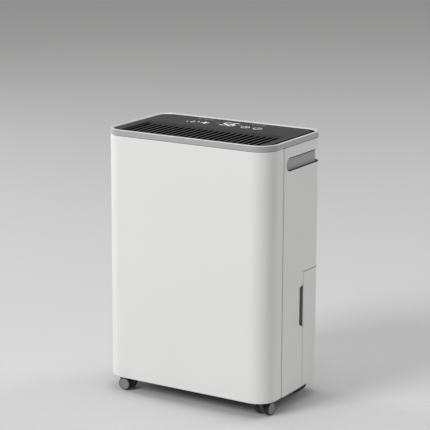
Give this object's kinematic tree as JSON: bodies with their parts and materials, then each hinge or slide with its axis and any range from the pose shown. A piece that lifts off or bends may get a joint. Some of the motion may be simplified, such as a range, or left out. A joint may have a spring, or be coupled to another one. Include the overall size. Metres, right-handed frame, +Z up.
{
  "type": "dehumidifier",
  "caption": "Upright compressor dehumidifier with rear water tank, top air outlet and touch panel, side carrying recesses and twin-wheel casters.",
  "frame": {"origin": "centre of the body's footprint, at the floor under the casters", "axes": "+Z up, the front faces -Y, +X to the right seen from the front"},
  "size_m": [0.35, 0.206, 0.502],
  "materials": {
    "white_shell": "fine satin, injection moulded",
    "silver_trim": "silver-grey satin",
    "dark_panel": "dark satin with printed white marks",
    "caster_grey": "moulded grey",
    "wheel_grey": "moulded grey",
    "base_black": "black, fine texture",
    "inner_grey": "natural grey moulding",
    "tank_lid_grey": "translucent-looking pale grey",
    "float_white": "foam white",
    "compressor_black": "black enamel",
    "copper": "drawn copper",
    "aluminium": "thin fins, mill finish",
    "steel": "zinc plated",
    "board_green": "solder mask",
    "mesh_dark": "fine woven filter net",
    "rubber_black": "matt rubber"
  },
  "bodies": {
    "housing": {"front_cover": "white_shell", "rear_cover": "white_shell", "top_rim": "silver_trim", "top_panel": "dark_panel", "base_pan": "base_black", "bulkhead": "inner_grey", "drip_tray": "inner_grey", "display_board": "board_green", "humidity_sensor": "float_white", "tank_sensor": "board_green", "compressor": "compressor_black", "compressor_grommet_1": "rubber_black", "compressor_grommet_2": "rubber_black", "compressor_grommet_3": "rubber_black", "accumulator": "compressor_black", "control_box": "inner_grey", "main_board": "board_green", "run_capacitor": "aluminium", "suction_pipe": "copper", "discharge_pipe": "copper", "capillary_tube": "copper", "condenser": "aluminium", "evaporator": "aluminium", "fan_housing": "inner_grey", "fan_inlet_ring": "inner_grey", "fan_motor": "steel", "drain_spout": "inner_grey", "cord_gland": "base_black", "screw_upper_left": "steel", "screw_upper_right": "steel", "screw_lower_left": "steel", "screw_lower_right": "steel"},
    "tank": {"water_tank": "white_shell", "tank_lid": "tank_lid_grey"},
    "tank_float_arm": {"tank_float": "float_white"},
    "fan": {"fan_wheel": "inner_grey", "motor_shaft": "steel"},
    "intake": {"intake_grille": "white_shell", "filter_frame": "base_black", "filter_mesh": "mesh_dark"},
    "plug": {"drain_plug": "rubber_black"},
    "front_left_caster": {"front_left_fork": "caster_grey"},
    "front_left_wheels": {"front_left_axle": "steel", "front_left_wheel_a": "wheel_grey", "front_left_wheel_b": "wheel_grey"},
    "front_right_caster": {"front_right_fork": "caster_grey"},
    "front_right_wheels": {"front_right_axle": "steel", "front_right_wheel_a": "wheel_grey", "front_right_wheel_b": "wheel_grey"},
    "rear_left_caster": {"rear_left_fork": "caster_grey"},
    "rear_left_wheels": {"rear_left_axle": "steel", "rear_left_wheel_a": "wheel_grey", "rear_left_wheel_b": "wheel_grey"},
    "rear_right_caster": {"rear_right_fork": "caster_grey"},
    "rear_right_wheels": {"rear_right_axle": "steel", "rear_right_wheel_a": "wheel_grey", "rear_right_wheel_b": "wheel_grey"}
  },
  "joints": [
    {"name": "front_left_swivel", "type": "hinge", "parent": "housing", "child": "front_left_caster", "pos_m": [-0.152, -0.079, 0.0282], "axis": [0, 0, 1], "continuous": true},
    {"name": "front_left_roll", "type": "hinge", "parent": "front_left_caster", "child": "front_left_wheels", "pos_m": [-0.1395, -0.079, 0.0125], "axis": [0, 1, 0], "continuous": true},
    {"name": "front_right_swivel", "type": "hinge", "parent": "housing", "child": "front_right_caster", "pos_m": [0.152, -0.079, 0.0282], "axis": [0, 0, 1], "continuous": true},
    {"name": "front_right_roll", "type": "hinge", "parent": "front_right_caster", "child": "front_right_wheels", "pos_m": [0.15309, -0.06655, 0.0125], "axis": [-0.9962, 0.0872, 0], "continuous": true},
    {"name": "rear_left_swivel", "type": "hinge", "parent": "housing", "child": "rear_left_caster", "pos_m": [-0.152, 0.079, 0.0282], "axis": [0, 0, 1], "continuous": true},
    {"name": "rear_left_roll", "type": "hinge", "parent": "rear_left_caster", "child": "rear_left_wheels", "pos_m": [-0.14025, 0.08328, 0.0125], "axis": [-0.342, 0.9397, 0], "continuous": true},
    {"name": "rear_right_swivel", "type": "hinge", "parent": "housing", "child": "rear_right_caster", "pos_m": [0.152, 0.079, 0.0282], "axis": [0, 0, 1], "continuous": true},
    {"name": "rear_right_roll", "type": "hinge", "parent": "rear_right_caster", "child": "rear_right_wheels", "pos_m": [0.1395, 0.079, 0.0125], "axis": [0, -1, 0], "continuous": true},
    {"name": "tank_slide", "type": "slide", "parent": "housing", "child": "tank", "axis": [0, 1, 0], "range_m": [0, 0.12]},
    {"name": "float_hinge", "type": "hinge", "parent": "tank", "child": "tank_float_arm", "pos_m": [0.11, 0.054, 0.229], "axis": [1, 0, 0], "range_deg": [0, 20]},
    {"name": "fan_spin", "type": "hinge", "parent": "housing", "child": "fan", "pos_m": [0, -0.056, 0.375], "axis": [0, 1, 0], "continuous": true},
    {"name": "intake_tilt", "type": "hinge", "parent": "housing", "child": "intake", "pos_m": [0, 0.1015, 0.268], "axis": [-1, 0, 0], "range_deg": [0, 70]},
    {"name": "drain_plug_pull", "type": "slide", "parent": "housing", "child": "plug", "axis": [0, 1, 0], "range_m": [0, 0.02]}
  ]
}
